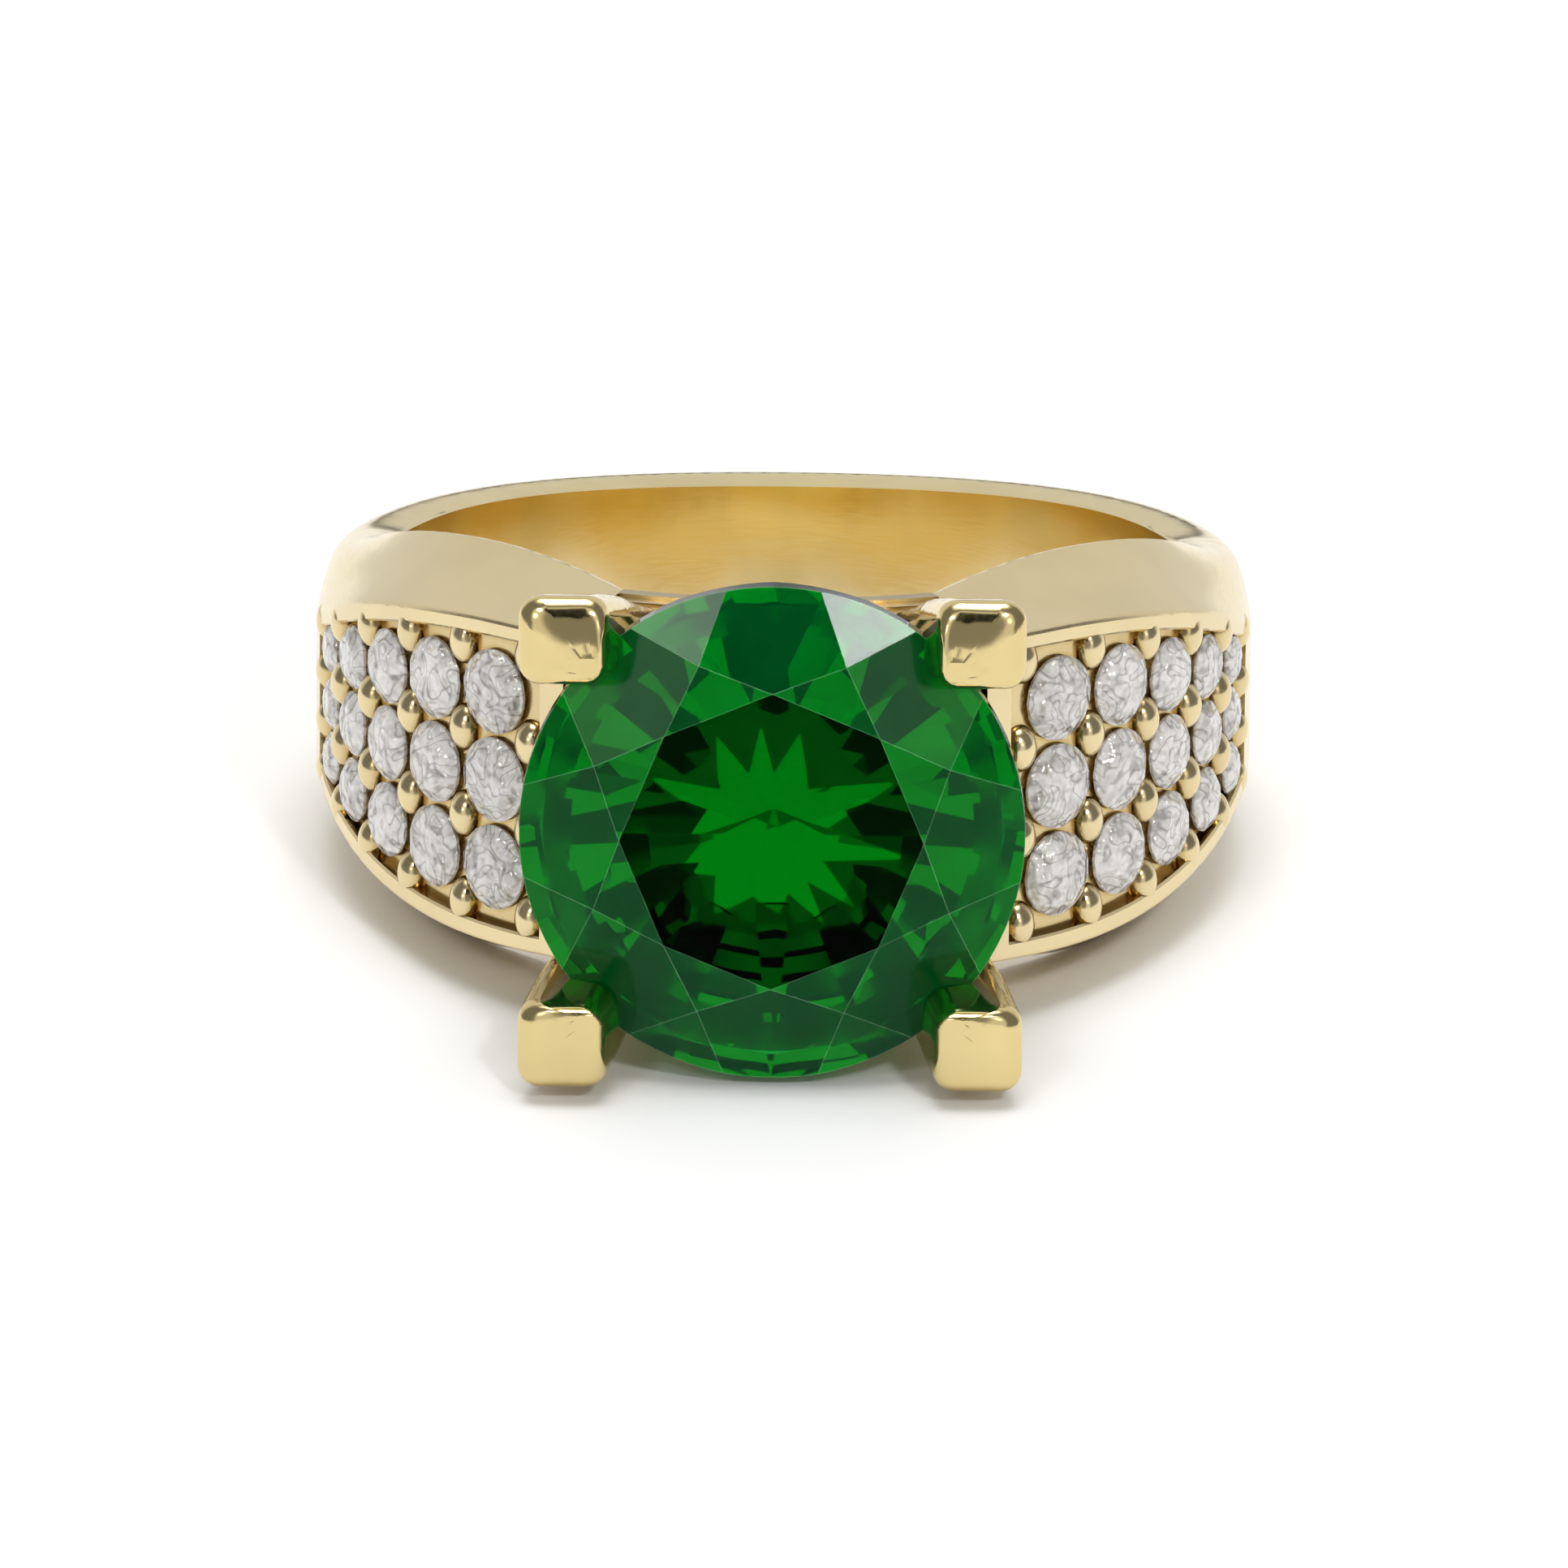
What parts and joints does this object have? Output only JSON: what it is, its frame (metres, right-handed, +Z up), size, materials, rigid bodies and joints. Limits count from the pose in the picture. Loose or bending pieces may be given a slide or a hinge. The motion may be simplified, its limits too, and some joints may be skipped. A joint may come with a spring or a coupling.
{
  "type": "cocktail ring",
  "caption": "Gold-coloured finger ring with a large round green stone in square claws and wide shoulders paved with small clear stones.",
  "frame": {"origin": "middle of the ring's footprint, on the surface it lies on", "axes": "+X from the left shoulder to the right one as seen from the stone's side, -Y the way the centre stone faces, +Z up; the ring lies on its side, the finger axis in the YZ plane leaning back from +Z"},
  "size_m": [0.0202, 0.0256, 0.0107],
  "materials": {
    "shank_gold": "mirror-polished pale yellow gold",
    "shoulder_gold": "polished pale yellow gold, burnished edges, bright-cut grains",
    "head_gold": "mirror-polished pale yellow gold",
    "green_stone": "faceted and polished, deep green",
    "clear_stone": "faceted and polished, colourless"
  },
  "bodies": {
    "root": {"base_rail": "head_gold", "bridge": "shoulder_gold", "centre_stone": "green_stone", "claw_lower_left": "head_gold", "claw_lower_right": "head_gold", "claw_upper_left": "head_gold", "claw_upper_right": "head_gold", "left_shoulder": "shoulder_gold", "pave_left_c1_r1": "clear_stone", "pave_left_c1_r2": "clear_stone", "pave_left_c1_r3": "clear_stone", "pave_left_c2_r1": "clear_stone", "pave_left_c2_r2": "clear_stone", "pave_left_c2_r3": "clear_stone", "pave_left_c3_r1": "clear_stone", "pave_left_c3_r2": "clear_stone", "pave_left_c3_r3": "clear_stone", "pave_left_c4_r1": "clear_stone", "pave_left_c4_r2": "clear_stone", "pave_left_c4_r3": "clear_stone", "pave_left_c5_r1": "clear_stone", "pave_left_c5_r2": "clear_stone", "pave_left_c5_r3": "clear_stone", "pave_right_c1_r1": "clear_stone", "pave_right_c1_r2": "clear_stone", "pave_right_c1_r3": "clear_stone", "pave_right_c2_r1": "clear_stone", "pave_right_c2_r2": "clear_stone", "pave_right_c2_r3": "clear_stone", "pave_right_c3_r1": "clear_stone", "pave_right_c3_r2": "clear_stone", "pave_right_c3_r3": "clear_stone", "pave_right_c4_r1": "clear_stone", "pave_right_c4_r2": "clear_stone", "pave_right_c4_r3": "clear_stone", "pave_right_c5_r1": "clear_stone", "pave_right_c5_r2": "clear_stone", "pave_right_c5_r3": "clear_stone", "right_shoulder": "shoulder_gold", "seat_rail": "head_gold", "shank": "shank_gold"}
  },
  "joints": []
}
